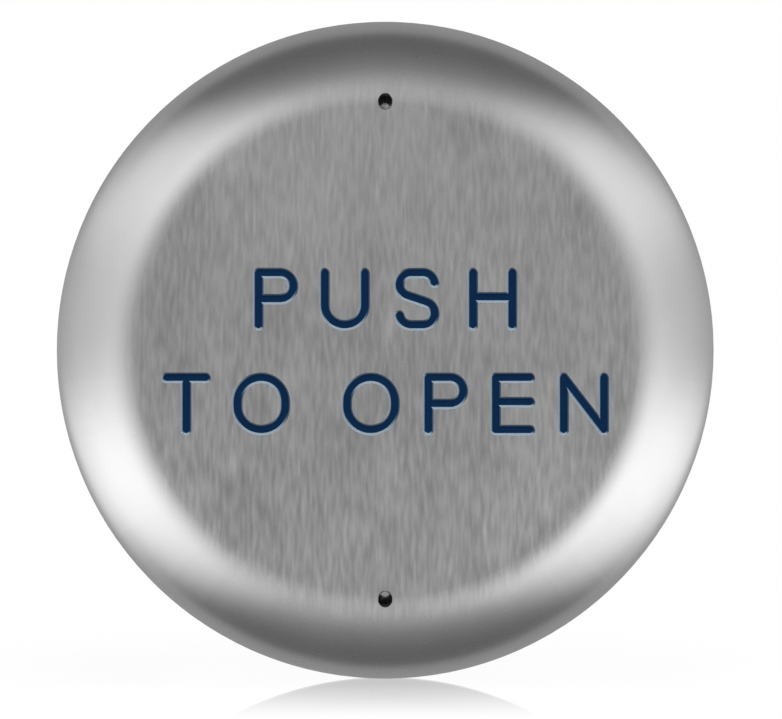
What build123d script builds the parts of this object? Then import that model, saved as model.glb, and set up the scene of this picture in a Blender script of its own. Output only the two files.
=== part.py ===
"""Door release button: a round steel push plate on sprung guides that works a snap switch.

The wall is the plane Y = 0 and the plate faces -Y, with +Z up. Depths are distances in front of
the wall, in millimetres. A negative depth is inside the wall box behind the plate.
"""

import math
import os

from build123d import *

# Push plate: a drawn dish with a flat face and a quarter-round rim
plate_radius = 76.2
plate_thickness = 1.6
rim_radius = 20.5
skirt_height = 2.0
rim_gap = 4.0
rim_edge_round = 0.4
key_slot_length = 3.55
key_slot_width = 3.1
key_slot_break = 0.15
press_travel = 2.5

# Engraved legend: single-stroke letters, grooves with sloping flanks, laid out to fill the flat face
legend_margin = 5.35
legend_drop = 0.35
stroke_width = 2.5
flank_width = 0.6
flank_depth = 0.3
groove_depth = 0.45
paint_thickness = 0.13
paint_clearance = 0.02

# Letter shapes in cap heights, and each line of the legend with the gaps between its letters
letter_widths = {
    "P": 0.725, "U": 0.81, "S": 0.73, "H": 0.795, "T": 0.795, "O": 0.93, "E": 0.717, "N": 0.81, " ": 0,
}
legend_lines = {"PUSH": (0.32, 0.37, 0.43), "TO OPEN": (0.32, 0.4, 0.4, 0.355, 0.34, 0.355)}
line_pitch = 1.654
crossbar_share = 0.535
bowl_share = 0.25
curve_share = 0.225
hook_angle = 80

# Carrier bar: a folded strip fixed inside the dish
bar_thickness = 1.6
bar_width = 36.0
bar_bend_radius = 3.0
bar_corner_radius = 4.0
web_half_length = 36.0
leg_run = 5.0
foot_past_guide = 9.25
foot_front = 11.1
stud_radius = 2.0
stud_length = 5.8
stud_pitch_x = 22.0
stud_pitch_z = 52.0
stud_hole_clearance = 0.2
stud_chamfer = 0.4
washer_radius = 4.5
washer_thickness = 0.8
nut_across_flats = 7.0
nut_height = 2.6
thread_clearance = 0.05

# Guides: captive screws, clips, bushes and springs
guide_inset = 20.25
guide_radius = 2.5
guide_clearance = 0.1
screw_thread_radius = 2.0
screw_end_depth = 0.5
nose_flats = 1.5
nose_length = 1.3
screw_shoulder_past_clip = 0.5
clip_groove_radius = 2.0
clip_thickness = 0.8
clip_radius = 4.6
clip_mouth = 3.0
clip_groove_clearance = 0.05
bush_radius = 4.5
bush_height = 2.5
bush_shank_radius = 3.2
bush_shank_end = 0.2
press_clearance = 0.01
spring_wire_radius = 0.35
spring_mean_radius = 5.15
spring_turns = 4.5
spring_seat_clearance = 0.02

# Stop bumpers between the back plate and the feet of the bar
bumper_pitch = 26.0
bumper_base_radius = 4.6
bumper_top_radius = 3.6
bumper_clearance = 0.2
bumper_round = 0.9

# Back plate: a pressed pan on the wall
base_inset = 6.2
base_thickness = 2.0
base_flange_height = 6.5
base_bend_radius = 3.5
box_screw_pitch = 83.3
box_screw_hole_radius = 2.15
anchor_pitch = 104.0
anchor_hole_radius = 2.25
window_margin_x = 4.5
window_above_screws = 1.5
window_below_switch = 19.0
window_corner_radius = 5.0

# Snap switch: its case, where it stands, and its working parts
case_length = 27.8
case_height = 15.9
case_width = 10.3
case_front = 12.5
case_wall = 1.6
case_corner_round = 0.8
cover_thickness = 2.0
case_floor = 1.8
cavity_start = 6.3
cavity_length = 15.2
switch_hole_radius = 1.6
switch_hole_inset = 2.8
hinge_inset = 2.0
hinge_height = 1.4
hinge_lug_radius = 1.1
hinge_lug_width = 2.8
hinge_pin_radius = 0.6
hinge_pin_clearance = 0.05
lever_arm = 20.0
lever_length = 26.0
lever_thickness = 0.5
lever_width = 4.2
lever_lug_clearance = 0.2
lever_ear_length = 6.0
lever_rest_angle = 8.5
striker_radius = 5.5
striker_dome_radius = 10.0
striker_gap = 0.3
plunger_arm = 8.5
plunger_radius = 1.5
plunger_bore_clearance = 0.05
plunger_dome_radius = 3.0
plunger_gap = 0.1
plunger_flange_radius = 2.3
plunger_flange_height = 1.0
plunger_flange_gap = 0.1
plunger_nub_radius = 1.0

# Snap blade, contacts and terminals inside the switch
blade_arm = 8.3
blade_tip_arm = 11.0
blade_thickness = 0.2
blade_width = 3.6
blade_depth_below_front = 6.3
blade_root_radius = 0.4
blade_gap = 0.05
contact_radius = 1.2
contact_height = 0.5
contact_shank_radius = 0.6
terminal_thickness = 0.6
terminal_width = 4.0
terminal_reach = 6.4
terminal_slot_clearance = 0.05
terminal_hole_radius = 0.8
terminal_hole_inset = 2.2

# Switch bracket and small screws
bracket_thickness = 1.5
bracket_tab_width = 9.0
bracket_tab_length = 13.5
bracket_screw_inset = 5.4
bracket_tab_gap = 1.0
bracket_shoulder = 5.5
bracket_bend_round = 1.0
bracket_screw_radius = 1.9
bracket_screw_end = 0.2
pan_head_ratio = 1.85
pan_head_height_ratio = 0.75
pan_head_round = 0.5
cross_slot_width = 0.8
cross_slot_depth = 1.0
switch_screw_radius = 1.5
switch_nut_flats = 5.5
switch_nut_height = 2.4
screw_hole_clearance = 0.1
screw_past_nut = 0.6

# Depths and places that follow from the sizes above
flat_radius = plate_radius - rim_radius
inner_radius = plate_radius - plate_thickness
groove_bottom_width = stroke_width - 2 * flank_width
rim_center_depth = rim_gap + skirt_height
face_depth = rim_center_depth + rim_radius
face_back = face_depth - plate_thickness
web_back = face_back - bar_thickness
foot_back = foot_front - bar_thickness
guide_z = plate_radius - guide_inset
base_radius = plate_radius - base_inset
shoulder_start = base_thickness + bush_height
clip_front = foot_front + clip_thickness
shoulder_end = clip_front + screw_shoulder_past_clip
stud_end = face_back - stud_length

hinge_x = -lever_arm
hinge_depth = case_front + hinge_height
case_x = hinge_x - hinge_inset
case_back = case_front - case_height
case_top_z = case_width / 2
case_split_z = cover_thickness - case_width / 2
cavity_x = case_x + cavity_start
cavity_front = case_front - case_wall
cavity_back = case_back + case_wall
plunger_x = hinge_x + plunger_arm
blade_root_x = plunger_x + blade_arm
blade_tip_x = blade_root_x - blade_tip_arm
blade_depth = case_front - blade_depth_below_front
switch_holes = (
    (case_x + switch_hole_inset, case_back + switch_hole_inset),
    (case_x + case_length - switch_hole_inset, case_front - switch_hole_inset),
)

rest_slope = math.radians(lever_rest_angle)
plunger_travel = press_travel * plunger_arm / lever_arm
half_lever = lever_thickness / 2 / math.cos(rest_slope)
plunger_top = hinge_depth + plunger_arm * math.tan(rest_slope) - half_lever - plunger_gap
striker_tip = hinge_depth + lever_arm * math.tan(rest_slope) + half_lever + striker_gap
blade_drop = blade_tip_arm * plunger_travel / blade_arm
bracket_z = case_top_z + bracket_thickness
tab_left_x = case_x - window_margin_x - bracket_tab_gap - bracket_tab_width
tab_right_x = case_x + case_length + window_margin_x + bracket_tab_gap
bracket_screw_z = case_top_z + bracket_tab_length - bracket_screw_inset
bracket_screw_places = [
    (tab_left_x + bracket_tab_width / 2, bracket_screw_z),
    (tab_right_x + bracket_tab_width / 2, bracket_screw_z),
]
stud_places = [(x * stud_pitch_x / 2, z * stud_pitch_z / 2) for x in (-1, 1) for z in (-1, 1)]

os.makedirs("parts", exist_ok=True)


def at(depth):
    """A plane parallel to the wall at this depth: x is to the right, y is up, and it faces the viewer."""
    return Plane.XZ.offset(depth)


def section(x=0, z=0):
    """A level plane through this axis: x is to the right, y is the depth in front of the wall."""
    return Plane(origin=(x, 0, z), x_dir=(1, 0, 0), z_dir=(0, 0, -1))


def turning_axis(x=0, z=0):
    """The axis, square to the wall, that a turned piece at this place is made round."""
    return Axis((x, 0, z), (0, -1, 0))


def letter_strokes(letter, width, height):
    """Centre lines of one letter's strokes, from its lower left corner."""
    crossbar = height * crossbar_share
    bowl = height * bowl_share
    curve = height * curve_share
    half = width / 2
    stem = [(0, 0), (0, height)]
    far_stem = [(width, 0), (width, height)]
    lines = {
        "P": [stem],
        "U": [],
        "S": [],
        "H": [stem, far_stem, [(0, crossbar), (width, crossbar)]],
        "T": [[(0, height), (width, height)], [(half, 0), (half, height)]],
        "O": [],
        "E": [stem] + [[(0, y), (width, y)] for y in (0, crossbar, height)],
        "N": [stem, [(0, height), (width, 0)], far_stem],
    }
    strokes = []
    for start, end in lines[letter]:
        with BuildLine() as straight:
            Line(start, end)
        strokes.append(straight.wire())
    if letter == "P":
        with BuildLine() as loop:
            Line((0, height), (width - bowl, height))
            CenterArc((width - bowl, height - bowl), bowl, 90, -180)
            Line((width - bowl, height - 2 * bowl), (0, height - 2 * bowl))
        strokes.append(loop.wire())
    if letter == "U":
        with BuildLine() as cup:
            Line((0, height), (0, half))
            CenterArc((half, half), half, 180, 180)
            Line((width, half), (width, height))
        strokes.append(cup.wire())
    if letter == "S":
        rise = height - 2 * curve
        run = width - 2 * curve
        slant = math.degrees(math.atan2(rise, run) - math.asin(2 * curve / math.hypot(rise, run)))
        with BuildLine() as snake:
            CenterArc((width - curve, height - curve), curve, 90 - hook_angle, hook_angle)
            Line((width - curve, height), (curve, height))
            upper = CenterArc((curve, height - curve), curve, 90, 180 - slant)
            lower = CenterArc((width - curve, curve), curve, 90 - slant, slant - 180)
            Line(upper @ 1, lower @ 0)
            Line((width - curve, 0), (curve, 0))
            CenterArc((curve, curve), curve, 270, -hook_angle)
        strokes.append(snake.wire())
    if letter == "O":
        for side in (-1, 1):
            with BuildLine() as bow:
                CenterArc((half, height - half), half, 90, -90 * side)
                Line((half + side * half, height - half), (half + side * half, half))
                CenterArc((half, half), half, 90 - 90 * side, -90 * side)
            strokes.append(bow.wire())
    return strokes


def line_advances(words):
    """How far each letter of a line takes the pen, in cap heights."""
    return [letter_widths[c] + gap for c, gap in zip(words, (*legend_lines[words], 0))]


def legend_strokes():
    """Centre lines of the whole legend: the longest line fills the flat face between its margins."""
    line_lengths = {words: sum(line_advances(words)) for words in legend_lines}
    cap_height = 2 * (flat_radius - legend_margin) / max(line_lengths.values())
    height = cap_height - stroke_width
    strokes = []
    for words, side in zip(legend_lines, (1, -1)):
        line_y = side * line_pitch * cap_height / 2 - height / 2 - legend_drop
        pen = -line_lengths[words] * cap_height / 2
        for letter, advance in zip(words, line_advances(words)):
            if letter != " ":
                width = letter_widths[letter] * cap_height - stroke_width
                corner = Location((pen + stroke_width / 2, line_y))
                strokes.extend(s.moved(corner) for s in letter_strokes(letter, width, height))
            pen += advance * cap_height
    return strokes


legend = legend_strokes()

# Push plate, with the two key slots, the engraving and the flanks of its grooves
with BuildPart() as push_plate:
    with BuildSketch(section()):
        with BuildLine():
            Line((0, face_depth), (flat_radius, face_depth))
            CenterArc((flat_radius, rim_center_depth), rim_radius, 90, -90)
            Line((plate_radius, rim_center_depth), (plate_radius, rim_gap))
            Line((plate_radius, rim_gap), (inner_radius, rim_gap))
            Line((inner_radius, rim_gap), (inner_radius, rim_center_depth))
            CenterArc((flat_radius, rim_center_depth), rim_radius - plate_thickness, 0, 90)
            Line((flat_radius, face_back), (0, face_back))
            Line((0, face_back), (0, face_depth))
        make_face()
    revolve(axis=turning_axis())
    rim_edges = push_plate.edges().filter_by(GeomType.CIRCLE).group_by(Axis.Y)[-1]
    fillet(rim_edges, rim_edge_round)
    for grow, depth, taper in ((key_slot_break, key_slot_break, 45), (0, 2 * plate_thickness, 0)):
        with BuildSketch(at(face_depth)):
            with Locations((0, -guide_z), (0, guide_z)):
                SlotOverall(key_slot_length + 2 * grow, key_slot_width + 2 * grow, rotation=90)
        extrude(amount=-depth, taper=taper, mode=Mode.SUBTRACT)
    with BuildSketch(at(face_depth)):
        for stroke in legend:
            SlotArc(stroke, groove_bottom_width)
    extrude(amount=-groove_depth, mode=Mode.SUBTRACT)
    land_count = len(push_plate.faces().filter_by(Axis.Y).group_by(Axis.Y)[0])
    for number in range(land_count):
        land = push_plate.faces().filter_by(Axis.Y).group_by(Axis.Y)[0].sort_by(SortBy.AREA)[number]
        letter_wires = [w for w in land.inner_wires() if w.length > 4 * key_slot_length]
        groove_wires = letter_wires or [land.outer_wire()]
        chamfer([e for w in groove_wires for e in w.edges()], flank_width, flank_depth, reference=land)
push_plate.part.label = "push_plate"
export_step(push_plate.part, "parts/push_plate.step")

# Enamel in the bottom of the engraving, one solid for each letter
with BuildPart() as legend_paint:
    with BuildSketch(at(face_depth - groove_depth)):
        for stroke in legend:
            SlotArc(stroke, groove_bottom_width - 2 * paint_clearance)
    extrude(amount=paint_thickness)
legend_paint.part.label = "legend_paint"
export_step(legend_paint.part, "parts/legend_paint.step")

# Carrier bar: web flat against the dish, legs back to two feet that run on the guides
with BuildPart() as carrier_bar:
    with BuildSketch(Plane(origin=(0, 0, 0), x_dir=(0, 0, 1), z_dir=(1, 0, 0))):
        with BuildLine():
            knee = web_half_length + leg_run
            foot_end = guide_z + foot_past_guide
            FilletPolyline(
                (-foot_end, foot_front),
                (-knee, foot_front),
                (-web_half_length, face_back),
                (web_half_length, face_back),
                (knee, foot_front),
                (foot_end, foot_front),
                radius=bar_bend_radius,
            )
            offset(amount=bar_thickness, side=Side.RIGHT)
        make_face()
    extrude(amount=bar_width / 2, both=True)
    corner_edges = carrier_bar.edges().filter_by(Axis.Y)
    fillet(corner_edges.group_by(Axis.Z)[0] + corner_edges.group_by(Axis.Z)[-1], bar_corner_radius)
    with BuildSketch(at(foot_back)):
        with Locations((0, -guide_z), (0, guide_z)):
            Circle(guide_radius + guide_clearance)
    extrude(amount=bar_thickness, mode=Mode.SUBTRACT)
    with BuildSketch(at(web_back)):
        with Locations((0, 0), *stud_places):
            Circle(stud_radius + stud_hole_clearance)
    extrude(amount=bar_thickness, mode=Mode.SUBTRACT)
carrier_bar.part.label = "carrier_bar"
export_step(carrier_bar.part, "parts/carrier_bar.step")

# Weld studs on the back of the dish: four hold the bar and the middle one the striker pad
with BuildPart() as weld_studs:
    with BuildSketch(at(stud_end)):
        with Locations((0, 0), *stud_places):
            Circle(stud_radius)
    extrude(amount=stud_length)
    chamfer(weld_studs.edges().group_by(Axis.Y)[-1], stud_chamfer)
weld_studs.part.label = "weld_studs"
export_step(weld_studs.part, "parts/weld_studs.step")

with BuildPart() as stud_washers:
    with BuildSketch(at(web_back - washer_thickness)):
        with Locations(*stud_places):
            Circle(washer_radius)
            Circle(stud_radius + stud_hole_clearance, mode=Mode.SUBTRACT)
    extrude(amount=washer_thickness)
stud_washers.part.label = "stud_washers"
export_step(stud_washers.part, "parts/stud_washers.step")

with BuildPart() as stud_nuts:
    with BuildSketch(at(web_back - washer_thickness - nut_height)):
        with Locations(*stud_places):
            RegularPolygon(nut_across_flats / 2, 6, major_radius=False)
            Circle(stud_radius + thread_clearance, mode=Mode.SUBTRACT)
    extrude(amount=nut_height)
stud_nuts.part.label = "stud_nuts"
export_step(stud_nuts.part, "parts/stud_nuts.step")

# Striker pad: a domed acetal cap screwed on the middle stud
with BuildPart() as striker_pad:
    dome_rim = striker_tip + striker_dome_radius - math.sqrt(striker_dome_radius**2 - striker_radius**2)
    socket_radius = stud_radius + thread_clearance
    socket_end = stud_end - thread_clearance
    with BuildSketch(section()):
        with BuildLine():
            Polyline(
                (0, striker_tip),
                (0, socket_end),
                (socket_radius, socket_end),
                (socket_radius, web_back),
                (striker_radius, web_back),
                (striker_radius, dome_rim),
            )
            RadiusArc((striker_radius, dome_rim), (0, striker_tip), striker_dome_radius)
        make_face()
    revolve(axis=turning_axis())
striker_pad.part.label = "striker_pad"
export_step(striker_pad.part, "parts/striker_pad.step")

# Back plate: a pan with a turned rim, the wire window and its screw holes
with BuildPart() as back_plate:
    inner_bend = base_bend_radius - base_thickness
    flange_inside = base_radius - base_thickness
    bend_center = (base_radius - base_bend_radius, base_bend_radius)
    with BuildSketch(section()):
        with BuildLine():
            Line((0, 0), (bend_center[0], 0))
            CenterArc(bend_center, base_bend_radius, 270, 90)
            Line((base_radius, base_bend_radius), (base_radius, base_flange_height))
            Line((base_radius, base_flange_height), (flange_inside, base_flange_height))
            Line((flange_inside, base_flange_height), (flange_inside, base_bend_radius))
            CenterArc(bend_center, inner_bend, 0, -90)
            Line((bend_center[0], base_thickness), (0, base_thickness))
            Line((0, base_thickness), (0, 0))
        make_face()
    revolve(axis=turning_axis())
    window_x = case_x + case_length / 2
    window_top = bracket_z + switch_nut_height + screw_past_nut + window_above_screws
    window_bottom = -case_top_z - window_below_switch
    with BuildSketch(at(0)):
        with Locations((window_x, (window_top + window_bottom) / 2)):
            RectangleRounded(
                case_length + 2 * window_margin_x, window_top - window_bottom, window_corner_radius
            )
        with Locations((0, -box_screw_pitch / 2), (0, box_screw_pitch / 2)):
            Circle(box_screw_hole_radius)
        with Locations((-anchor_pitch / 2, 0), (anchor_pitch / 2, 0)):
            Circle(anchor_hole_radius)
        with Locations((0, -guide_z), (0, guide_z)):
            Circle(bush_shank_radius + press_clearance)
        with Locations(*bracket_screw_places):
            Circle(bracket_screw_radius + thread_clearance)
    extrude(amount=base_thickness, mode=Mode.SUBTRACT)
back_plate.part.label = "back_plate"
export_step(back_plate.part, "parts/back_plate.step")

# Threaded bushes pressed into the back plate, which also centre the springs
with BuildPart() as threaded_bushes:
    for bush_z in (-guide_z, guide_z):
        with BuildSketch(section(z=bush_z)):
            with BuildLine():
                Polyline(
                    (screw_thread_radius + thread_clearance, bush_shank_end),
                    (bush_shank_radius, bush_shank_end),
                    (bush_shank_radius, base_thickness),
                    (bush_radius, base_thickness),
                    (bush_radius, shoulder_start),
                    (screw_thread_radius + thread_clearance, shoulder_start),
                    close=True,
                )
            make_face()
        revolve(axis=turning_axis(z=bush_z))
threaded_bushes.part.label = "threaded_bushes"
export_step(threaded_bushes.part, "parts/threaded_bushes.step")

# Captive guide screws: thread, guide shoulder, clip groove and a small hexagon nose for the key
with BuildPart() as captive_screws:
    groove_start = foot_front - clip_groove_clearance
    groove_end = clip_front + clip_groove_clearance
    for screw_z in (-guide_z, guide_z):
        with BuildSketch(section(z=screw_z)):
            with BuildLine():
                Polyline(
                    (0, screw_end_depth),
                    (screw_thread_radius, screw_end_depth),
                    (screw_thread_radius, shoulder_start),
                    (guide_radius, shoulder_start),
                    (guide_radius, groove_start),
                    (clip_groove_radius, groove_start),
                    (clip_groove_radius, groove_end),
                    (guide_radius, groove_end),
                    (guide_radius, shoulder_end),
                    (0, shoulder_end),
                    close=True,
                )
            make_face()
        revolve(axis=turning_axis(z=screw_z))
    with BuildSketch(at(shoulder_end)):
        with Locations((0, -guide_z), (0, guide_z)):
            RegularPolygon(nose_flats / 2, 6, major_radius=False)
    extrude(amount=nose_length)
captive_screws.part.label = "captive_screws"
export_step(captive_screws.part, "parts/captive_screws.step")

# Retaining clips in the screw grooves, which hold the feet of the bar at rest
with BuildPart() as retaining_clips:
    with BuildSketch(at(foot_front)):
        with Locations((0, -guide_z), (0, guide_z)):
            Circle(clip_radius)
            Circle(clip_groove_radius + press_clearance, mode=Mode.SUBTRACT)
            with Locations((clip_radius / 2, 0)):
                Rectangle(clip_radius, clip_mouth, mode=Mode.SUBTRACT)
    extrude(amount=clip_thickness)
retaining_clips.part.label = "retaining_clips"
export_step(retaining_clips.part, "parts/retaining_clips.step")

# Return springs round the guide screws, between the back plate and the feet
spring_start = base_thickness + spring_wire_radius + spring_seat_clearance
spring_height = foot_back - base_thickness - 2 * (spring_wire_radius + spring_seat_clearance)
for spring_name, spring_z in (("upper_return_spring", guide_z), ("lower_return_spring", -guide_z)):
    with BuildPart() as return_spring:
        with BuildLine() as coil:
            Helix(
                pitch=spring_height / spring_turns,
                height=spring_height,
                radius=spring_mean_radius,
                center=(0, -spring_start, spring_z),
                direction=(0, -1, 0),
            )
        with BuildSketch(Plane(origin=coil.line @ 0, z_dir=coil.line % 0)):
            Circle(spring_wire_radius)
        sweep(is_frenet=True)
    return_spring.part.label = spring_name
    export_step(return_spring.part, f"parts/{spring_name}.step")

# Rubber stop bumpers that end the travel of the feet
bumper_top = foot_back - press_travel - bumper_clearance
for bumper_name, bumper_x, bumper_z in (
    ("upper_left_bumper", -bumper_pitch / 2, guide_z),
    ("upper_right_bumper", bumper_pitch / 2, guide_z),
    ("lower_left_bumper", -bumper_pitch / 2, -guide_z),
    ("lower_right_bumper", bumper_pitch / 2, -guide_z),
):
    with BuildPart() as bumper:
        with BuildSketch(section(bumper_x, bumper_z)):
            with BuildLine():
                Polyline(
                    (0, base_thickness),
                    (bumper_base_radius, base_thickness),
                    (bumper_top_radius, bumper_top),
                    (0, bumper_top),
                    close=True,
                )
            make_face()
        revolve(axis=turning_axis(bumper_x, bumper_z))
        fillet(bumper.edges().group_by(Axis.Y)[0], bumper_round)
    bumper.part.label = bumper_name
    export_step(bumper.part, f"parts/{bumper_name}.step")

# Switch bracket: an upright through the window with two tabs bent out on the back plate
with BuildPart() as switch_bracket:
    tab_front = base_thickness + bracket_thickness
    tab_right_end = tab_right_x + bracket_tab_width
    with BuildSketch(section(z=bracket_z)):
        with Locations((case_x + case_length / 2, (case_front + case_back) / 2)):
            Rectangle(case_length, case_height)
        with Locations(((tab_left_x + tab_right_end) / 2, base_thickness + bracket_shoulder / 2)):
            Rectangle(tab_right_end - tab_left_x, bracket_shoulder)
    extrude(amount=bracket_thickness)
    with BuildSketch(at(base_thickness)):
        for tab_x in (tab_left_x, tab_right_x):
            with Locations((tab_x + bracket_tab_width / 2, case_top_z + bracket_tab_length / 2)):
                Rectangle(bracket_tab_width, bracket_tab_length)
    extrude(amount=bracket_thickness)
    bend_edges = (
        switch_bracket.edges()
        .filter_by(Axis.X)
        .filter_by_position(Axis.Z, bracket_z - press_clearance, bracket_z + press_clearance)
        .filter_by_position(Axis.Y, -tab_front - press_clearance, -tab_front + press_clearance)
    )
    fillet(bend_edges, bracket_bend_round)
    with BuildSketch(section(z=bracket_z)):
        with Locations(*switch_holes):
            Circle(switch_hole_radius)
    extrude(amount=bracket_thickness, mode=Mode.SUBTRACT)
    with BuildSketch(at(base_thickness)):
        with Locations(*bracket_screw_places):
            Circle(bracket_screw_radius + screw_hole_clearance)
    extrude(amount=bracket_thickness, mode=Mode.SUBTRACT)
switch_bracket.part.label = "switch_bracket"
export_step(switch_bracket.part, "parts/switch_bracket.step")

# Bracket screws, pan headed, into tapped holes of the back plate
with BuildPart() as bracket_screws:
    screw_head_radius = bracket_screw_radius * pan_head_ratio
    screw_head_top = tab_front + 2 * bracket_screw_radius * pan_head_height_ratio
    for screw_x, screw_z in bracket_screw_places:
        with BuildSketch(section(screw_x, screw_z)):
            with BuildLine():
                Polyline(
                    (0, bracket_screw_end),
                    (bracket_screw_radius, bracket_screw_end),
                    (bracket_screw_radius, tab_front),
                    (screw_head_radius, tab_front),
                    (screw_head_radius, screw_head_top),
                    (0, screw_head_top),
                    close=True,
                )
            make_face()
        revolve(axis=turning_axis(screw_x, screw_z))
    fillet(bracket_screws.edges().group_by(Axis.Y)[0], pan_head_round)
    with BuildSketch(at(screw_head_top)):
        with Locations(*bracket_screw_places):
            Rectangle(screw_head_radius, cross_slot_width)
            Rectangle(cross_slot_width, screw_head_radius)
    extrude(amount=-cross_slot_depth, mode=Mode.SUBTRACT)
bracket_screws.part.label = "bracket_screws"
export_step(bracket_screws.part, "parts/bracket_screws.step")

# Switch case: a moulded tub open on its lower side, with a hinge lug on its front
with BuildPart() as switch_case:
    slot_depth = terminal_width / 2 + terminal_slot_clearance - case_split_z
    contact_level = blade_depth + blade_thickness / 2 + 2 * contact_height + blade_gap
    with BuildSketch(section(z=case_top_z)):
        with Locations((case_x + case_length / 2, (case_front + case_back) / 2)):
            RectangleRounded(case_length, case_height, case_corner_round)
    extrude(amount=case_width - cover_thickness)
    with BuildSketch(section(z=hinge_lug_width / 2)):
        with Locations((hinge_x, hinge_depth)):
            Circle(hinge_lug_radius)
        with Locations((hinge_x, case_front + hinge_height / 2)):
            Rectangle(2 * hinge_lug_radius, hinge_height)
    extrude(amount=hinge_lug_width)
    with BuildSketch(section(z=case_split_z)):
        with Locations((cavity_x + cavity_length / 2, (cavity_front + cavity_back) / 2)):
            Rectangle(cavity_length, cavity_front - cavity_back)
    extrude(amount=case_split_z - case_top_z + case_floor, mode=Mode.SUBTRACT)
    with BuildSketch(section(z=case_split_z)):
        for slot_x in (blade_root_x, blade_tip_x + contact_radius + terminal_thickness):
            with Locations((slot_x, case_back + case_wall / 2)):
                Rectangle(terminal_thickness + 2 * terminal_slot_clearance, case_wall)
        with Locations((case_x + cavity_start / 2, contact_level + terminal_thickness / 2)):
            Rectangle(cavity_start, terminal_thickness + 2 * terminal_slot_clearance)
    extrude(amount=-slot_depth, mode=Mode.SUBTRACT)
    with BuildSketch(at(cavity_front)):
        with Locations((plunger_x, 0)):
            Circle(plunger_radius + plunger_bore_clearance)
    extrude(amount=case_wall, mode=Mode.SUBTRACT)
    with BuildSketch(section(z=case_top_z)):
        with Locations(*switch_holes):
            Circle(switch_hole_radius)
        with Locations((hinge_x, hinge_depth)):
            Circle(hinge_pin_radius + hinge_pin_clearance)
    extrude(amount=case_width, mode=Mode.SUBTRACT)
switch_case.part.label = "switch_case"
export_step(switch_case.part, "parts/switch_case.step")

with BuildPart() as switch_cover:
    with BuildSketch(section(z=case_split_z)):
        with Locations((case_x + case_length / 2, (case_front + case_back) / 2)):
            RectangleRounded(case_length, case_height, case_corner_round)
        with Locations(*switch_holes):
            Circle(switch_hole_radius, mode=Mode.SUBTRACT)
    extrude(amount=cover_thickness)
switch_cover.part.label = "switch_cover"
export_step(switch_cover.part, "parts/switch_cover.step")

# Long screws through the cover, the case and the bracket, with nuts behind the bracket
with BuildPart() as switch_screws:
    head_radius = switch_screw_radius * pan_head_ratio
    head_height = 2 * switch_screw_radius * pan_head_height_ratio
    screw_reach = case_width + bracket_thickness + switch_nut_height + screw_past_nut
    with BuildSketch(section(z=-case_top_z)):
        with Locations(*switch_holes):
            Circle(head_radius)
    extrude(amount=head_height)
    fillet(switch_screws.edges().group_by(Axis.Z)[0], pan_head_round)
    with BuildSketch(section(z=-case_top_z)):
        with Locations(*switch_holes):
            Circle(switch_screw_radius)
    extrude(amount=-screw_reach)
    with BuildSketch(section(z=-case_top_z - head_height)):
        with Locations(*switch_holes):
            Rectangle(head_radius, cross_slot_width)
            Rectangle(cross_slot_width, head_radius)
    extrude(amount=-cross_slot_depth, mode=Mode.SUBTRACT)
switch_screws.part.label = "switch_screws"
export_step(switch_screws.part, "parts/switch_screws.step")

with BuildPart() as switch_nuts:
    with BuildSketch(section(z=bracket_z)):
        with Locations(*switch_holes):
            RegularPolygon(switch_nut_flats / 2, 6, major_radius=False)
            Circle(switch_screw_radius + thread_clearance, mode=Mode.SUBTRACT)
    extrude(amount=-switch_nut_height)
switch_nuts.part.label = "switch_nuts"
export_step(switch_nuts.part, "parts/switch_nuts.step")

# Switch lever: a pressed strip with two ears on the hinge pin, tilted at rest
lever_plane = Plane(
    origin=(hinge_x, -hinge_depth, 0),
    x_dir=(math.cos(rest_slope), -math.sin(rest_slope), 0),
    z_dir=(0, 0, 1),
)
ear_inner = hinge_lug_width / 2 + lever_lug_clearance
ear_thickness = lever_width / 2 - ear_inner
strip_start = hinge_lug_radius + lever_thickness
with BuildPart() as switch_lever:
    with BuildSketch(lever_plane):
        with Locations(((strip_start + lever_length) / 2, 0)):
            Rectangle(lever_length - strip_start, lever_thickness)
    extrude(amount=lever_width / 2, both=True)
    for ear_z in (-lever_width / 2, ear_inner):
        with BuildSketch(lever_plane.offset(ear_z)):
            Circle(hinge_lug_radius)
            with Locations((lever_ear_length / 2, 0)):
                Rectangle(lever_ear_length, 2 * hinge_lug_radius - lever_thickness)
            Circle(hinge_pin_radius + press_clearance, mode=Mode.SUBTRACT)
        extrude(amount=ear_thickness)
switch_lever.part.label = "switch_lever"
export_step(switch_lever.part, "parts/switch_lever.step")

with BuildPart() as lever_pin:
    with BuildSketch(lever_plane):
        Circle(hinge_pin_radius)
    extrude(amount=lever_width / 2 + lever_thickness / 2, both=True)
lever_pin.part.label = "lever_pin"
export_step(lever_pin.part, "parts/lever_pin.step")

# Switch plunger: domed head through the case front, a retaining flange and a nub on the blade
with BuildPart() as switch_plunger:
    flange_front = cavity_front - plunger_flange_gap
    nub_end = blade_depth + blade_thickness / 2 + blade_gap
    dome_side = plunger_top - plunger_dome_radius + math.sqrt(plunger_dome_radius**2 - plunger_radius**2)
    with BuildSketch(section(x=plunger_x)):
        with BuildLine():
            Line((0, plunger_top), (0, nub_end))
            CenterArc((0, nub_end + plunger_nub_radius), plunger_nub_radius, 270, 90)
            Polyline(
                (plunger_nub_radius, nub_end + plunger_nub_radius),
                (plunger_nub_radius, flange_front - plunger_flange_height),
                (plunger_flange_radius, flange_front - plunger_flange_height),
                (plunger_flange_radius, flange_front),
                (plunger_radius, flange_front),
                (plunger_radius, dome_side),
            )
            RadiusArc((plunger_radius, dome_side), (0, plunger_top), -plunger_dome_radius)
        make_face()
    revolve(axis=turning_axis(x=plunger_x))
switch_plunger.part.label = "switch_plunger"
export_step(switch_plunger.part, "parts/switch_plunger.step")

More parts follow.
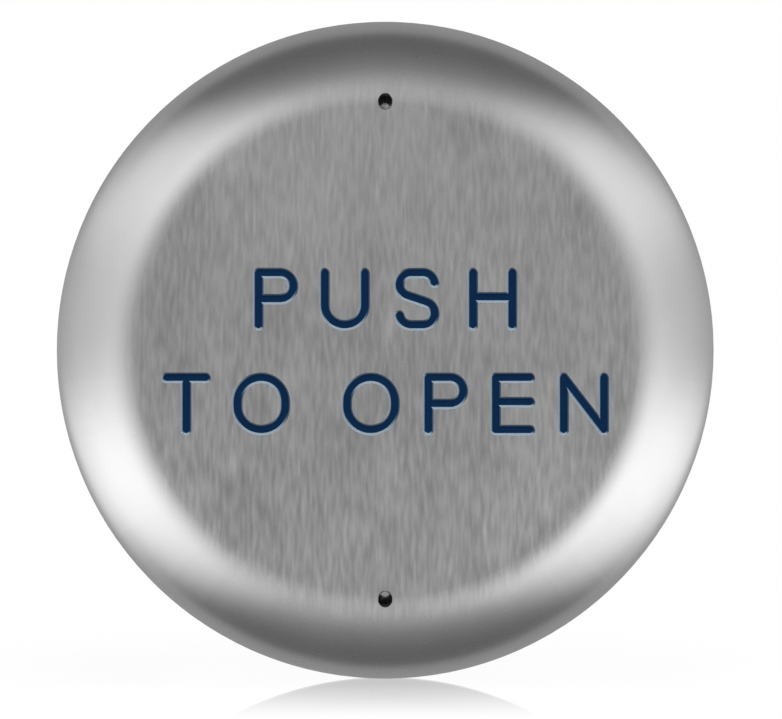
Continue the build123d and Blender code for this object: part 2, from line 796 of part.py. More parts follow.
# Snap blade with a rolled root on the common terminal, and the contact riveted in its tip
with BuildPart() as snap_blade:
    with BuildSketch(section()):
        with Locations((blade_root_x, blade_depth)):
            Circle(blade_root_radius)
        with Locations(((blade_root_x + blade_tip_x - contact_radius) / 2, blade_depth)):
            Rectangle(blade_tip_arm + contact_radius, blade_thickness)
    extrude(amount=blade_width / 2, both=True)
    with BuildSketch(at(blade_depth - blade_thickness / 2)):
        with Locations((blade_tip_x, 0)):
            Circle(contact_shank_radius + press_clearance)
    extrude(amount=blade_thickness, mode=Mode.SUBTRACT)
snap_blade.part.label = "snap_blade"
export_step(snap_blade.part, "parts/snap_blade.step")

with BuildPart() as moving_contact:
    for head_level in (blade_depth + blade_thickness / 2, blade_depth - blade_thickness / 2 - contact_height):
        with BuildSketch(at(head_level)):
            with Locations((blade_tip_x, 0)):
                Circle(contact_radius)
        extrude(amount=contact_height)
    with BuildSketch(at(blade_depth - blade_thickness / 2)):
        with Locations((blade_tip_x, 0)):
            Circle(contact_shank_radius)
    extrude(amount=blade_thickness)
moving_contact.part.label = "moving_contact"
export_step(moving_contact.part, "parts/moving_contact.step")

# Fixed contacts on the terminals, one each side of the moving contact
contact_tilt = contact_radius * plunger_travel / blade_arm
open_level = blade_depth - blade_thickness / 2 - contact_height - blade_drop - contact_tilt - blade_gap
with BuildPart() as fixed_contacts:
    for contact_back in (contact_level - contact_height, open_level - contact_height):
        with BuildSketch(at(contact_back)):
            with Locations((blade_tip_x, 0)):
                Circle(contact_radius)
        extrude(amount=contact_height)
fixed_contacts.part.label = "fixed_contacts"
export_step(fixed_contacts.part, "parts/fixed_contacts.step")

# Terminals: brass strips through the case wall, with a hole in each tab
tab_end = case_back - terminal_reach
with BuildPart() as common_terminal:
    strip_top = blade_depth - blade_root_radius - blade_gap
    with BuildSketch(section()):
        with Locations((blade_root_x, (strip_top + tab_end) / 2)):
            Rectangle(terminal_thickness, strip_top - tab_end)
    extrude(amount=terminal_width / 2, both=True)
    with BuildSketch(Plane.YZ.offset(blade_root_x)):
        with Locations((-tab_end - terminal_hole_inset, 0)):
            Circle(terminal_hole_radius)
    extrude(amount=terminal_thickness, both=True, mode=Mode.SUBTRACT)
common_terminal.part.label = "common_terminal"
export_step(common_terminal.part, "parts/common_terminal.step")

with BuildPart() as normally_open_terminal:
    shelf_front = open_level - contact_height
    strip_x = blade_tip_x + contact_radius + terminal_thickness
    shelf_start = blade_tip_x - contact_radius
    with BuildSketch(section()):
        with Locations((strip_x, (shelf_front + tab_end) / 2)):
            Rectangle(terminal_thickness, shelf_front - tab_end)
        with Locations(((shelf_start + strip_x) / 2, shelf_front - terminal_thickness / 2)):
            Rectangle(strip_x - shelf_start, terminal_thickness)
    extrude(amount=terminal_width / 2, both=True)
    with BuildSketch(Plane.YZ.offset(strip_x)):
        with Locations((-tab_end - terminal_hole_inset, 0)):
            Circle(terminal_hole_radius)
    extrude(amount=terminal_thickness, both=True, mode=Mode.SUBTRACT)
normally_open_terminal.part.label = "normally_open_terminal"
export_step(normally_open_terminal.part, "parts/normally_open_terminal.step")

with BuildPart() as normally_closed_terminal:
    strip_left = case_x - terminal_reach
    strip_right = blade_tip_x + contact_radius
    with BuildSketch(section()):
        with Locations(((strip_left + strip_right) / 2, contact_level + terminal_thickness / 2)):
            Rectangle(strip_right - strip_left, terminal_thickness)
    extrude(amount=terminal_width / 2, both=True)
    with BuildSketch(at(contact_level)):
        with Locations((strip_left + terminal_hole_inset, 0)):
            Circle(terminal_hole_radius)
    extrude(amount=terminal_thickness, mode=Mode.SUBTRACT)
normally_closed_terminal.part.label = "normally_closed_terminal"
export_step(normally_closed_terminal.part, "parts/normally_closed_terminal.step")
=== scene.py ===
"""Door release button: a brushed steel push plate on its wall pan, seen square from the front.

Everything is in metres in the part's own frame. The wall is y = 0, the plate faces -y and z is up.
The pieces come in the order in which they are put together, from the wall outwards.
"""

import math

import bmesh
import bpy
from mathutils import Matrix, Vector


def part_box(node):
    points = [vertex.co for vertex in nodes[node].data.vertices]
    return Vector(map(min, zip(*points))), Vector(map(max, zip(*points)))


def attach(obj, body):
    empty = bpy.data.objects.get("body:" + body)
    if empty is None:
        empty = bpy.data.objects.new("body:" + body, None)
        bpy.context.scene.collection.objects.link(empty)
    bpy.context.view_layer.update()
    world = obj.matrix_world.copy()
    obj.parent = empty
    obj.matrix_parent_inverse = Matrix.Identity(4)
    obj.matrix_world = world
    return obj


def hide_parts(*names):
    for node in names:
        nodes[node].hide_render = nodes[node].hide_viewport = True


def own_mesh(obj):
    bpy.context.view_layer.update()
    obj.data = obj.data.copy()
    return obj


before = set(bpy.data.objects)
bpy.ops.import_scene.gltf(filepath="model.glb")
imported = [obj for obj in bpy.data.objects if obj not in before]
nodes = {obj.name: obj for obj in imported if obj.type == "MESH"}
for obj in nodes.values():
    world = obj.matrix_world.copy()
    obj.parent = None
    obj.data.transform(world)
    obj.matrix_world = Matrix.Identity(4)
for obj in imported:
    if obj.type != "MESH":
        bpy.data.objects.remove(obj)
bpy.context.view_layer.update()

# Back plate
# The pan that goes on the wall box: mild steel pressed to shape and bright zinc plated. The rolling
# grain of the sheet shows through the plating, with a cloudy sheen and the marks of handling, and the
# die has burnished it round the bend.
mm = 0.001


class Value:
    """A shader socket that can be added, multiplied and compared in plain expressions."""

    def __init__(self, tree, socket):
        self.tree = tree
        self.socket = socket

    def node(self, kind, settings=None, **inputs):
        """Adds a node of this type, with its settings, and links or sets its inputs by name or number."""
        made = self.tree.nodes.new(kind)
        for name, value in (settings or {}).items():
            if name == "stops":
                ramp = made.color_ramp.elements
                while len(ramp) < len(value):
                    ramp.new(1.0)
                for element, (place, grey) in zip(ramp, value):
                    element.position = place
                    element.color = (grey, grey, grey, 1)
            else:
                setattr(made, name, value)
        for name, value in inputs.items():
            key = int(name[1:]) if name[0] == "_" else name.replace("_", " ")
            if isinstance(value, Value):
                self.tree.links.new(value.socket, made.inputs[key])
            else:
                made.inputs[key].default_value = value
        return made

    def out(self, kind, settings=None, output=0, **inputs):
        """The wrapped output of a new node."""
        return Value(self.tree, self.node(kind, settings, **inputs).outputs[output])

    def math(self, operation, other=0.0, swap=False):
        """The wrapped result of a Math node on this value and another."""
        pair = (other, self) if swap else (self, other)
        return self.out("ShaderNodeMath", {"operation": operation}, _0=pair[0], _1=pair[1])

    def __add__(self, other):
        return self.math("ADD", other)

    def __radd__(self, other):
        return self.math("ADD", other)

    def __sub__(self, other):
        return self.math("SUBTRACT", other)

    def __rsub__(self, other):
        return self.math("SUBTRACT", other, swap=True)

    def __mul__(self, other):
        return self.math("MULTIPLY", other)

    def __rmul__(self, other):
        return self.math("MULTIPLY", other)

    def __truediv__(self, other):
        return self.math("DIVIDE", other)

    def __lt__(self, other):
        return self.math("LESS_THAN", other)

    def __pow__(self, other):
        return self.math("POWER", other)

    def __abs__(self):
        return self.math("ABSOLUTE")

    def step(self, low, high):
        """Rises smoothly from 0 at low to 1 at high."""
        settings = {"interpolation_type": "SMOOTHSTEP"}
        return self.out("ShaderNodeMapRange", settings, Value=self, From_Min=low, From_Max=high)

    def mix(self, low, high):
        """A colour that goes from low at 0 to high at 1."""
        return self.out("ShaderNodeMix", {"data_type": "RGBA"}, output=2, _0=self, _6=low, _7=high)

    def xyz(self):
        """The three parts of this vector."""
        parts = self.node("ShaderNodeSeparateXYZ", Vector=self)
        return [Value(self.tree, s) for s in parts.outputs]

    def noise(self, grain, stretch=(1, 1, 1), detail=2.0):
        """Noise over this vector, with a grain of this size that is stretched along the axes."""
        shrink = tuple(1 / s for s in stretch)
        place = self.out("ShaderNodeMapping", Vector=self, Scale=shrink)
        return place.out("ShaderNodeTexNoise", Vector=place, Scale=1 / grain, Detail=detail)

    def bump(self, height):
        """A normal from this value, which stands this high at 1."""
        return self.out("ShaderNodeBump", Height=self, Distance=height)


def finish(name, colour, roughness, metallic=0.0, **constants):
    """A new material: its Principled node with these constants, and the wrapped Object coordinates."""
    material = bpy.data.materials.new(name)
    material.use_nodes = True
    shader = material.node_tree.nodes["Principled BSDF"]
    shader.inputs["Base Color"].default_value = (*colour, 1)
    shader.inputs["Roughness"].default_value = roughness
    shader.inputs["Metallic"].default_value = metallic
    for socket, value in constants.items():
        shader.inputs[socket.replace("_", " ")].default_value = value
    place = material.node_tree.nodes.new("ShaderNodeTexCoord")
    return material, shader, Value(material.node_tree, place.outputs["Object"])


def feed(shader, **values):
    """Links wrapped values to the shader's sockets."""
    for socket, value in values.items():
        value.tree.links.new(value.socket, shader.inputs[socket.replace("_", " ")])


def dress(material, *names):
    """Puts a material on CAD nodes."""
    for name in names:
        nodes[name].data.materials.clear()
        nodes[name].data.materials.append(material)


def zinc_plated(name, rolling, burnished=None):
    """Bright zinc on rolled sheet, grained along the rolling, with a ring that the die rubbed bright."""
    material, shader, place = finish(name, (0.6, 0.62, 0.63), 0.34, 1.0)
    grain = place.noise(0.45 * mm, rolling).step(0.25, 0.75)
    sheen = place.noise(15 * mm, detail=4.0).step(0.32, 0.68)
    smears = place.noise(3 * mm, rolling, 3.0).step(0.54, 0.74)
    pits = place.noise(0.7 * mm).step(0.68, 0.80)
    scratch_slant = math.radians(34)
    slanted = place.out("ShaderNodeMapping", Vector=place, Rotation=(0, scratch_slant, 0))
    scratches = slanted.noise(0.3 * mm, (1, 1, 80), 0.0).step(0.70, 0.80)
    tone = 0.2 + grain * 0.22 + sheen * 0.38 + scratches * 0.3 - smears * 0.09 - pits * 0.3
    roughness = 0.24 + sheen * 0.16 + grain * 0.06 + smears * 0.10
    if burnished:
        x, _, z = place.xyz()
        radius = (x * x + z * z) ** 0.5
        rubbed = radius.step(*burnished)
        ring_width = 0.8 * mm
        rings = radius.out("ShaderNodeTexNoise", {"noise_dimensions": "1D"}, W=radius, Scale=1 / ring_width)
        tone = tone + rubbed * (rings - 0.3) * 0.5
        roughness = roughness - rubbed * 0.10
    plating = tone.mix((0.34, 0.36, 0.375, 1), (0.84, 0.855, 0.86, 1))
    bluing = place.noise(26 * mm, detail=1.0).step(0.42, 0.66)
    feed(
        shader,
        Base_Color=(bluing * 0.45).mix(plating, (0.58, 0.62, 0.70, 1)),
        Roughness=roughness,
        Normal=(grain * 0.6 + smears * 0.3 - scratches * 0.7 - pits * 0.8).bump(0.006 * mm),
    )
    return material


bend_start = 60 * mm
bend_end = 64 * mm
dress(zinc_plated("zinc_pan", (16, 1, 1), burnished=(bend_start, bend_end)), "back_plate")


# Threaded bushes
# Two steel bushes turned from bar, zinc plated and pressed into the pan. The captive screws run in
# them.
def turned_steel(name, colour, roughness, rings=0.12 * mm):
    """Turned and plated steel: fine tool rings across the part's axis, and dull spots in the plating."""
    material, shader, place = finish(name, colour, roughness, 1.0)
    along = place.xyz()[1]
    tool = (along * (math.tau / rings)).math("SINE")
    fine = place.noise(0.5 * mm, detail=3.0)
    spots = place.noise(1.6 * mm, detail=3.0).step(0.56, 0.72)
    dark = tuple(0.72 * c for c in colour)
    feed(
        shader,
        Base_Color=(fine * 0.5 + spots * 0.5).mix((*colour, 1), (*dark, 1)),
        Roughness=roughness - 0.06 + fine * 0.12 + spots * 0.10,
        Normal=(tool * 0.3 + fine).bump(0.004 * mm),
    )
    return material


plated_steel = turned_steel("plated_steel", (0.64, 0.64, 0.61), 0.30)
dress(plated_steel, "threaded_bushes")

# Captive guide screws
# Shoulder screws turned bright from stainless bar. The feet of the bar slide on their shoulders, and
# their polished hexagon noses face the two key slots of the push plate.
dress(turned_steel("bright_screw", (0.46, 0.46, 0.45), 0.09), "captive_screws")

# Return springs
# Two coil springs wound from hard drawn wire, with a closed turn at each end. They stand round the
# guide screws, between the pan and the feet of the bar. The real springs shorten as the plate is
# pressed; the coils made here are fixed to the wall base and keep their length.
wire_radius = 0.35 * mm
wire_sides = 12
pan_front = -2.0 * mm
foot_back = -9.5 * mm
length = pan_front - foot_back
closed_pitch = 2.05 * wire_radius
closed_turns = 1.0
open_turns = 3.0
steps_a_turn = 40
wire_join = 0.001 * mm


def coil(name):
    """A coil spring in the place of the CAD node of this name."""
    low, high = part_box(name)
    centre = (low + high) / 2
    turn_radius = (high.x - low.x) / 2 - wire_radius
    rise = length - 2 * wire_radius
    open_pitch = (rise - 2 * closed_turns * closed_pitch) / open_turns
    shape = bmesh.new()
    ring = bmesh.ops.create_circle(shape, segments=wire_sides, radius=wire_radius)["verts"]
    start = Vector((turn_radius, pan_front - wire_radius, 0)) + Vector((centre.x, 0, centre.z))
    bmesh.ops.translate(shape, verts=ring, vec=start)
    end = list({e for v in ring for e in v.link_edges})
    closed_end = (closed_turns, closed_pitch)
    for turns, pitch in (closed_end, (open_turns, open_pitch), closed_end):
        steps = round(turns * steps_a_turn)
        spun = bmesh.ops.spin(
            shape,
            geom=end,
            cent=(centre.x, 0, centre.z),
            axis=(0, -1, 0),
            dvec=(0, -pitch * turns / steps, 0),
            angle=math.tau * turns,
            steps=steps,
            use_merge=False,
        )
        end = [e for e in spun["geom_last"] if isinstance(e, bmesh.types.BMEdge)]
    bmesh.ops.remove_doubles(shape, verts=shape.verts, dist=wire_join)
    bmesh.ops.holes_fill(shape, edges=[e for e in shape.edges if e.is_boundary])
    bmesh.ops.recalc_face_normals(shape, faces=shape.faces)
    for face in shape.faces:
        face.smooth = len(face.verts) == 4
    mesh = bpy.data.meshes.new(name + "_coil")
    shape.to_mesh(mesh)
    shape.free()
    piece = bpy.data.objects.new(name + "_coil", mesh)
    bpy.context.scene.collection.objects.link(piece)
    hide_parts(name)
    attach(piece, "wall_base")
    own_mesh(piece)
    return mesh


def spring_steel(name, rolling):
    """Hardened strip or wire: a darker grey with a trace of straw colour and draw lines along it."""
    material, shader, place = finish(name, (0.52, 0.51, 0.49), 0.3, 1.0)
    lines = place.noise(0.2 * mm, rolling)
    temper = place.noise(5 * mm)
    tone = (lines - 0.5) * 0.5 + 0.5
    steel = tone.mix((0.36, 0.355, 0.345, 1), (0.64, 0.63, 0.61, 1))
    feed(
        shader,
        Base_Color=(temper.step(0.45, 0.75) * 0.35).mix(steel, (0.56, 0.50, 0.40, 1)),
        Roughness=0.22 + lines * 0.16,
        Normal=lines.bump(0.004 * mm),
    )
    return material


drawn_wire = spring_steel("drawn_wire", (1, 1, 1))
for spring in ("upper_return_spring", "lower_return_spring"):
    coil(spring).materials.append(drawn_wire)

# Retaining clips
# Two open clips stamped from spring steel strip and sprung into the grooves of the guide screws.
# They hold the feet of the bar back at rest.
dress(spring_steel("clip_steel", (10, 1, 1)), "retaining_clips")

# Stop bumpers
# Four moulded rubber buffers stuck to the pan under the feet of the bar. They are matt black, with
# the faint grey bloom of old rubber.
material, shader, place = finish("black_rubber", (0.03, 0.03, 0.03), 0.75, Specular_IOR_Level=0.3)
bloom = place.noise(3 * mm, detail=4.0).step(0.42, 0.70)
skin = place.noise(0.25 * mm, detail=3.0)
feed(
    shader,
    Base_Color=(bloom * 0.6 + skin * 0.2).mix((0.022, 0.022, 0.023, 1), (0.075, 0.074, 0.072, 1)),
    Roughness=0.62 + bloom * 0.2,
    Normal=skin.bump(0.02 * mm),
)
dress(material, "upper_left_bumper", "upper_right_bumper", "lower_left_bumper", "lower_right_bumper")

# Switch bracket and its screws
# An upright of zinc-plated strip through the wire window, with two tabs bent out on the pan and held
# by pan-headed screws.
dress(zinc_plated("zinc_bracket", (12, 1, 1)), "switch_bracket")
dress(plated_steel, "bracket_screws")


# Switch case and cover
# The snap switch is moulded in two halves from black glass-filled plastic. The mould was spark
# eroded, so the skin is finely grained, with paler swirls of fibre.
def moulding(name, colour, pale, roughness):
    """Moulded plastic with an eroded skin and a slight swirl in its colour."""
    material, shader, place = finish(name, colour, roughness)
    grain = place.noise(0.16 * mm, detail=3.0)
    swirl = place.noise(4 * mm, (3, 1, 1), 3.0).step(0.40, 0.75)
    feed(
        shader,
        Base_Color=(swirl * 0.6 + grain * 0.4).mix((*colour, 1), (*pale, 1)),
        Roughness=roughness - 0.05 + grain * 0.14,
        Normal=grain.bump(0.012 * mm),
    )
    return material


dress(moulding("black_moulding", (0.018, 0.018, 0.018), (0.045, 0.044, 0.042), 0.42), "switch_case")
dress(moulding("cover_moulding", (0.022, 0.021, 0.020), (0.055, 0.052, 0.048), 0.50), "switch_cover")

# Switch screws and nuts
# Two long screws with cross slots go through the cover, the case and the bracket, with nuts behind
# it. Both are zinc plated.
dress(plated_steel, "switch_screws", "switch_nuts")


# Terminals and snap blade
# Strips stamped from half-hard brass. The tabs keep the lines of the rolled strip and are browned a
# little in patches; the blade is the same strip, rolled thinner.
def brass_strip(name, rolling):
    """Rolled brass: fine lines along the strip and brown patches."""
    material, shader, place = finish(name, (0.8, 0.6, 0.25), 0.28, 1.0)
    lines = place.noise(0.22 * mm, rolling)
    brown = place.noise(2.5 * mm, detail=4.0).step(0.48, 0.74)
    bright = lines.mix((0.72, 0.53, 0.22, 1), (0.88, 0.69, 0.34, 1))
    feed(
        shader,
        Base_Color=(brown * 0.7).mix(bright, (0.42, 0.27, 0.11, 1)),
        Roughness=0.20 + lines * 0.10 + brown * 0.16,
        Normal=lines.bump(0.003 * mm),
    )
    return material


dress(brass_strip("brass_tab", (1, 14, 1)), "common_terminal", "normally_open_terminal")
dress(brass_strip("brass_blade", (14, 1, 1)), "normally_closed_terminal", "snap_blade")

# Contacts
# Silver rivets pressed into the blade and onto the terminals, slightly tarnished where they don't
# meet.
material, shader, place = finish("contact_silver", (0.85, 0.84, 0.8), 0.2, 1.0)
tarnish = place.noise(0.7 * mm, detail=3.0).step(0.48, 0.72)
feed(
    shader,
    Base_Color=tarnish.mix((0.88, 0.87, 0.83, 1), (0.52, 0.48, 0.40, 1)),
    Roughness=0.14 + tarnish * 0.2,
)
dress(material, "moving_contact", "fixed_contacts")

# Switch plunger, lever and pin
# The plunger is a red moulding that slides in the case front. A strip lever of spring steel swings
# on a plated pin and lies over it.
dress(moulding("red_moulding", (0.42, 0.022, 0.016), (0.55, 0.045, 0.030), 0.32), "switch_plunger")
dress(spring_steel("lever_strip", (14, 1, 1)), "switch_lever")
dress(plated_steel, "lever_pin")

# Carrier bar with its studs, washers and nuts
# A zinc-plated strip, folded twice at each end and held against the dish by four studs that are
# welded to its back. A fifth stud in the middle carries the striker pad.
dress(zinc_plated("zinc_bar", (1, 1, 16)), "carrier_bar")
dress(plated_steel, "weld_studs", "stud_washers", "stud_nuts")

# Striker pad
# A domed cap turned from white acetal rod and screwed on the middle stud. Its dome pushes the
# switch lever when the plate goes in.
material, shader, place = finish("white_acetal", (0.84, 0.83, 0.79), 0.42, Subsurface_Weight=0.1)
shader.inputs["Subsurface Radius"].default_value = (1.2 * mm, 1.0 * mm, 0.8 * mm)
tool_feed = 0.22 * mm
x, _, z = place.xyz()
rings = ((x * x + z * z) ** 0.5 * (math.tau / tool_feed)).math("SINE")
cloud = place.noise(2 * mm, detail=3.0)
feed(
    shader,
    Base_Color=cloud.mix((0.76, 0.75, 0.70, 1), (0.88, 0.87, 0.84, 1)),
    Roughness=0.36 + cloud * 0.12,
    Normal=rings.bump(0.004 * mm),
)
dress(material, "striker_pad")

# Push plate
# A round dish drawn from one sheet of stainless steel, with a flat face and a quarter-round rim.
# The face is brushed in short vertical strokes, deepest low down, that die out on the satin rim. The
# legend's grooves are flooded with enamel. Their flanks that face up and to the right are painted pale
# blue-grey, a painted highlight of the light from above and the right, and each groove's lip is paler all
# round.
plate_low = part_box("push_plate")[0]
face_y = plate_low.y
flat_radius = 55.7 * mm
brush_fade = (54.0 * mm, 63.0 * mm)
stroke_fade = (53.5 * mm, 60.5 * mm)
stroke_overrun = 0.95
bite_rise = (-50 * mm, 15 * mm)
deeper_bite = 0.5
legend_reach = 25 * mm
groove_depth = 0.45 * mm
groove_top = (0.01 * mm, 0.04 * mm)
groove_floor = 1.3 * groove_depth
# The pale blue-grey below is a painted highlight on the groove flanks that face up and to the right, and
# also colours the paler lip of each groove.
pale_lip_depth = (0.11 * mm, 0.23 * mm)
left_highlight_depth = (0.13 * mm, 0.26 * mm)
lower_slope = (0.08, 0.40)
left_slope = (0.05, 0.40)
left_highlight_share = 0.95
pale_lip_share = 0.3
navy = (0.0006, 0.0220, 0.0750, 1)
highlight_and_lip_blue = (0.30, 0.38, 0.45, 1)

material, shader, place = finish("brushed_stainless", (0.62, 0.62, 0.61), 0.28, 1.0, Specular_IOR_Level=0.1)
x, y, z = place.xyz()
radius = (x * x + z * z) ** 0.5
on_face = 1 - radius.step(*brush_fade)
fine = place.noise(0.85 * mm, (1, 8, 5.6), 0.4)
middling = place.noise(2.2 * mm, (1, 4, 4.2), 0.4)
broad = place.noise(8.0 * mm, (1, 2, 2.4), 1.0)
cloud = place.noise(17 * mm, (1, 1, 1.8), 3.0)
scratch = place.noise(0.6 * mm, (1, 8, 11), 0.0).step(0.62, 0.80)
satin = place.noise(1.2 * mm, detail=3.0)
streak = fine * 0.50 + middling * 0.22 + broad * 0.28
overrun = z * stroke_overrun
stroked = 1 - ((x * x + overrun * overrun) ** 0.5).step(*stroke_fade)
bite = stroked * (1 + (1 - z.step(*bite_rise)) * deeper_bite)
tone = 0.5 + (streak - 0.5) * bite + (cloud - 0.5) * 0.55 + scratch * bite * 0.11
brushed = tone.mix((0.325, 0.325, 0.325, 1), (0.675, 0.675, 0.675, 1))
drawn = tone.mix((0.72, 0.72, 0.72, 1), (0.96, 0.96, 0.96, 1))
steel = on_face.mix(drawn, brushed)

depth = y - face_y
in_groove = depth.step(*groove_top) * (depth < groove_floor) * (radius < flat_radius)
in_groove = in_groove * (abs(z) < legend_reach)
# The lower flanks, which face up, and the left flanks, which face right, are painted pale by their normal:
# a painted highlight of the light from above and the right. The lip of each groove is paler all round.
facing_x, _, facing_z = Value(place.tree, place.socket.node.outputs["Normal"]).xyz()
lower_flank_highlight = facing_z.step(*lower_slope)
left_flank_highlight = facing_x.step(*left_slope) * (1 - depth.step(*left_highlight_depth))
pale_lip = 1 - depth.step(*pale_lip_depth)
highlight_and_pale_lip = lower_flank_highlight.math("MAXIMUM", left_flank_highlight * left_highlight_share).math("MAXIMUM", pale_lip * pale_lip_share)
feed(
    shader,
    Base_Color=in_groove.mix(steel, highlight_and_pale_lip.mix(navy, highlight_and_lip_blue)),
    Metallic=1 - in_groove,
    Roughness=0.27 + (streak - 0.5) * stroked * 0.22 + (satin - 0.5) * 0.02 + in_groove * 0.1,
    Normal=(streak * stroked + satin * 0.02).bump(0.008 * mm),
)

# The solid's surface starts and ends along one line of the rim, to the right of the middle. A drawn
# dish has no such line, so a joined copy stands for the solid, with normals that run straight over it.
seam_width = 0.001 * mm
join_distance = 0.0005 * mm
solid = nodes["push_plate"].data
facing = [corner.vector.copy() for corner in solid.corner_normals]
for direction, corner in zip(facing, solid.loops):
    spot = solid.vertices[corner.vertex_index].co
    if spot.x > flat_radius and abs(spot.z) < seam_width:
        direction.z = 0
shape = bmesh.new()
shape.from_mesh(solid)
bmesh.ops.remove_doubles(shape, verts=shape.verts, dist=join_distance)
mesh = bpy.data.meshes.new("drawn_dish")
shape.to_mesh(mesh)
shape.free()
mesh.normals_split_custom_set([direction.normalized() for direction in facing])
mesh.materials.clear()
mesh.materials.append(material)
dish = bpy.data.objects.new("drawn_dish", mesh)
bpy.context.scene.collection.objects.link(dish)
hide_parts("push_plate")
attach(dish, "press_plate")

# Legend enamel
# Gloss navy enamel run into the bottom of the engraving, so it lies below the face and is a shade
# uneven.
material, shader, place = finish("navy_enamel", navy[:3], 0.25, Specular_IOR_Level=0.12)
flow = place.noise(2.5 * mm)
feed(
    shader,
    Base_Color=flow.mix((0.0004, 0.0180, 0.064, 1), (0.0008, 0.0260, 0.086, 1)),
    Roughness=0.18 + flow * 0.14,
)
dress(material, "legend_paint")


# Floor
# A white table top that the plate stands on by its lowest edge. Close to the plate it is polished
# enough to mirror it faintly.
def staged(name, shape):
    """Makes an object of this shape, with an empty material."""
    mesh = bpy.data.meshes.new(name)
    shape.to_mesh(mesh)
    shape.free()
    thing = bpy.data.objects.new(name, mesh)
    bpy.context.scene.collection.objects.link(thing)
    material = bpy.data.materials.new(name)
    material.use_nodes = True
    material.node_tree.nodes.clear()
    mesh.materials.append(material)
    coords = material.node_tree.nodes.new("ShaderNodeTexCoord")
    return thing, material, Value(material.node_tree, coords.outputs["Object"])


def light_path(tree, *names):
    """1 for rays of these kinds, else 0."""
    paths = tree.nodes.new("ShaderNodeLightPath")
    seen = Value(tree, paths.outputs[names[0]])
    for name in names[1:]:
        seen = seen.math("MAXIMUM", Value(tree, paths.outputs[name]))
    return seen


table_half = 4.0
table_grey = (0.1, 0.1, 0.1, 1)
mirror_reach = 72 * mm
mirror_share = 0.55
rim_y = -6 * mm
mirror_width = (42 * mm, 76 * mm)
table_glow = 0.90
shadow_reach = (70 * mm, 150 * mm)
shape = bmesh.new()
bmesh.ops.create_grid(shape, x_segments=1, y_segments=1, size=table_half)
bmesh.ops.translate(shape, verts=shape.verts, vec=(0, 0, plate_low.z))
floor, material, place = staged("floor", shape)
floor.visible_glossy = False
x, y, _ = place.xyz()
seen = light_path(place.tree, "Is Camera Ray")
off_plate = y - rim_y
distance = (x * x + off_plate * off_plate) ** 0.5
matt = place.out("ShaderNodeBsdfDiffuse", Color=table_grey)
glow = place.out("ShaderNodeEmission", Color=(table_glow, table_glow, table_glow, 1))
shaded = place.out("ShaderNodeAddShader", _0=matt, _1=glow)
plain = place.out("ShaderNodeEmission", Color=(1, 1, 1, 1))
bright = place.out("ShaderNodeMixShader", _0=distance.step(*shadow_reach), _1=shaded, _2=plain)
table = place.out("ShaderNodeMixShader", _0=seen, _1=matt, _2=bright)
gloss = place.out("ShaderNodeBsdfGlossy", Color=(1, 1, 1, 1), Roughness=0.0)
near = (1 - abs(off_plate).step(0.0, mirror_reach)) * (1 - abs(x).step(*mirror_width))
blend = place.out("ShaderNodeMixShader", _0=near * mirror_share, _1=table, _2=gloss)
place.node("ShaderNodeOutputMaterial", Surface=blend)

# Studio
# A light tent that only reflections see: grey behind the camera, pale at the sides and brightest low
# down, dark above and below, and white at the back. Three soft lamps light what isn't metal. Angles
# are in degrees from the line that runs from the plate to the camera.
tent_radius = 2.2
half_turn = 180.0
dim_stops = [
    (0, 0.34), (4, 0.46), (8, 0.66), (14, 0.67), (20, 0.56), (28, 0.44), (38, 0.304), (50, 0.204),
    (62, 0.168), (76, 0.131), (92, 0.117), (106, 0.124), (118, 0.277), (140, 0.30), (165, 0.307),
    (169, 1.0),
]
lit_stops = [
    (0, 0.34), (4, 0.38), (8, 0.42), (14, 0.42), (22, 0.46), (30, 0.55), (38, 0.57), (60, 0.555),
    (75, 0.533), (90, 0.511), (105, 0.467), (120, 0.43), (140, 0.38), (165, 0.336), (169, 1.0),
]
gain_band = ((12, 22), (120, 150))
twist_band = ((4, 10), (30, 46))
side_edge = (0.40, 0.60)
side_softness = 0.18
low_rise = (0.0, 0.35)
low_fall = (0.5, 0.75)
low_loss = 0.45
low_gain = 1.2
high_rise = (0.25, 0.5)
high_gain = 0.55
twist_gain = 0.15
brightest = 2.0
shape = bmesh.new()
bmesh.ops.create_uvsphere(shape, u_segments=64, v_segments=32, radius=tent_radius)
tent, material, place = staged("light_tent", shape)
material.cycles.emission_sampling = "NONE"
tent.visible_camera = False
tent.visible_diffuse = False
tent.visible_shadow = False
tent.visible_transmission = False
tent.visible_volume_scatter = False
x, y, z = place.xyz()
across = (x * x + z * z) ** 0.5
angle = (y / -tent_radius).math("ARCCOSINE") / math.pi
dim, lit = [
    angle.out("ShaderNodeValToRGB", {"stops": [(a / half_turn, e) for a, e in stops]}, Fac=angle)
    for stops in (dim_stops, lit_stops)
]


def within(rise, fall):
    """1 between these two ranges of the angle, rising through one and falling through the other."""
    rising, falling = [angle.step(start / half_turn, end / half_turn) for start, end in (rise, fall)]
    return rising * (1 - falling)


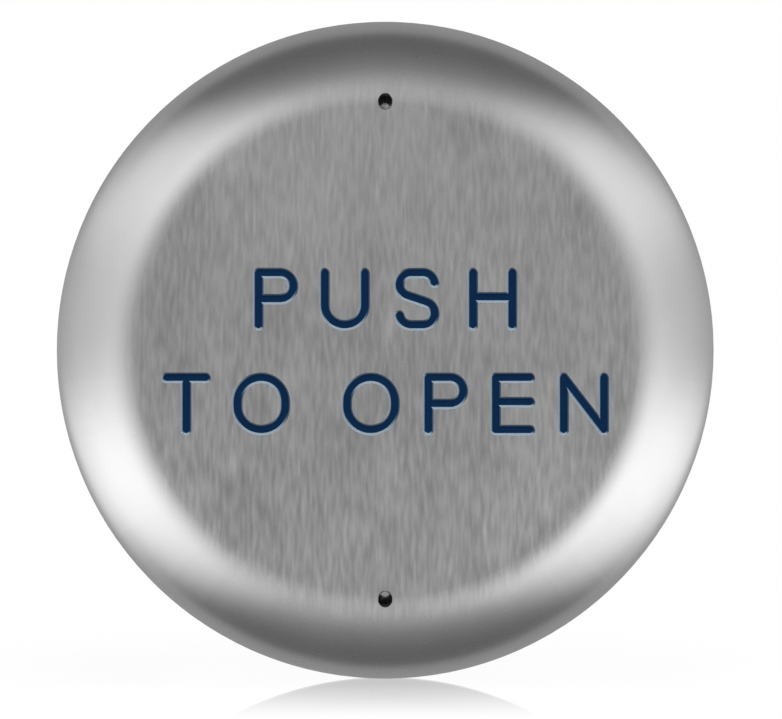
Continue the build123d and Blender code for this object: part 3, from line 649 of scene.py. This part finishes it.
sideways = abs(x) / across
upwards = z / across
downwards = 0 - upwards
at_side = (sideways - side_edge[0] - angle * side_edge[1]).step(-side_softness, side_softness)
low = downwards.step(*low_rise) * (1 - downwards.step(*low_fall) * low_loss)
high = upwards.step(*high_rise)
gain = 1 + (low * low_gain + high * high_gain) * within(*gain_band)
twist = x * z * 2 / (across * across)
twisted = twist * (twist - 1) * within(*twist_band)
level = (dim + (lit * gain - dim) * at_side) * (1 + twisted * twist_gain)
top_grey = (brightest, brightest, brightest, 1)
glow = place.out("ShaderNodeEmission", Color=(level * (1 / brightest)).mix((0, 0, 0, 1), top_grey))
place.node("ShaderNodeOutputMaterial", Surface=glow)

for name, spot, size, power in (
    ("left_lamp", (-0.9, -0.9, 0.4), 0.7, 6.0),
    ("right_lamp", (0.9, -0.9, 0.4), 0.7, 7.5),
    ("top_lamp", (0.1, -0.2, 1.2), 0.9, 9.0),
):
    lamp = bpy.data.lights.new(name, "AREA")
    lamp.size = size
    lamp.energy = power
    light = bpy.data.objects.new(name, lamp)
    light.location = spot
    light.rotation_euler = (-Vector(spot)).to_track_quat("-Z", "Y").to_euler()
    light.visible_glossy = False
    bpy.context.scene.collection.objects.link(light)

room_fill = 0.35
world = bpy.data.worlds.new("white_room")
bpy.context.scene.world = world
world.use_nodes = True
world.node_tree.nodes.clear()
seen = light_path(world.node_tree, "Is Camera Ray", "Is Glossy Ray", "Is Transmission Ray")
fill = seen.out("ShaderNodeBackground", Color=(1, 1, 1, 1), Strength=room_fill)
white = seen.out("ShaderNodeBackground", Color=(1, 1, 1, 1), Strength=1.0)
room = seen.out("ShaderNodeMixShader", _0=seen, _1=fill, _2=white)
seen.node("ShaderNodeOutputWorld", Surface=room)

# Camera
# A long lens on the plate's own axis, level with its centre. The shift of the frame puts the plate
# where the photograph has it.
photo_width = 782
camera_distance = 0.6
lens_pixels = 2581
frame_shift = (0.0074, -0.0119)
camera = bpy.data.cameras.new("camera")
camera.sensor_width = 36
camera.lens = lens_pixels / photo_width * camera.sensor_width
camera.shift_x, camera.shift_y = frame_shift
viewer = bpy.data.objects.new("camera", camera)
viewer.location = (0, rim_y - camera_distance, 0)
viewer.rotation_euler = (math.radians(90), 0, 0)
bpy.context.scene.collection.objects.link(viewer)
bpy.context.scene.camera = viewer
bpy.context.scene.view_settings.view_transform = "Standard"
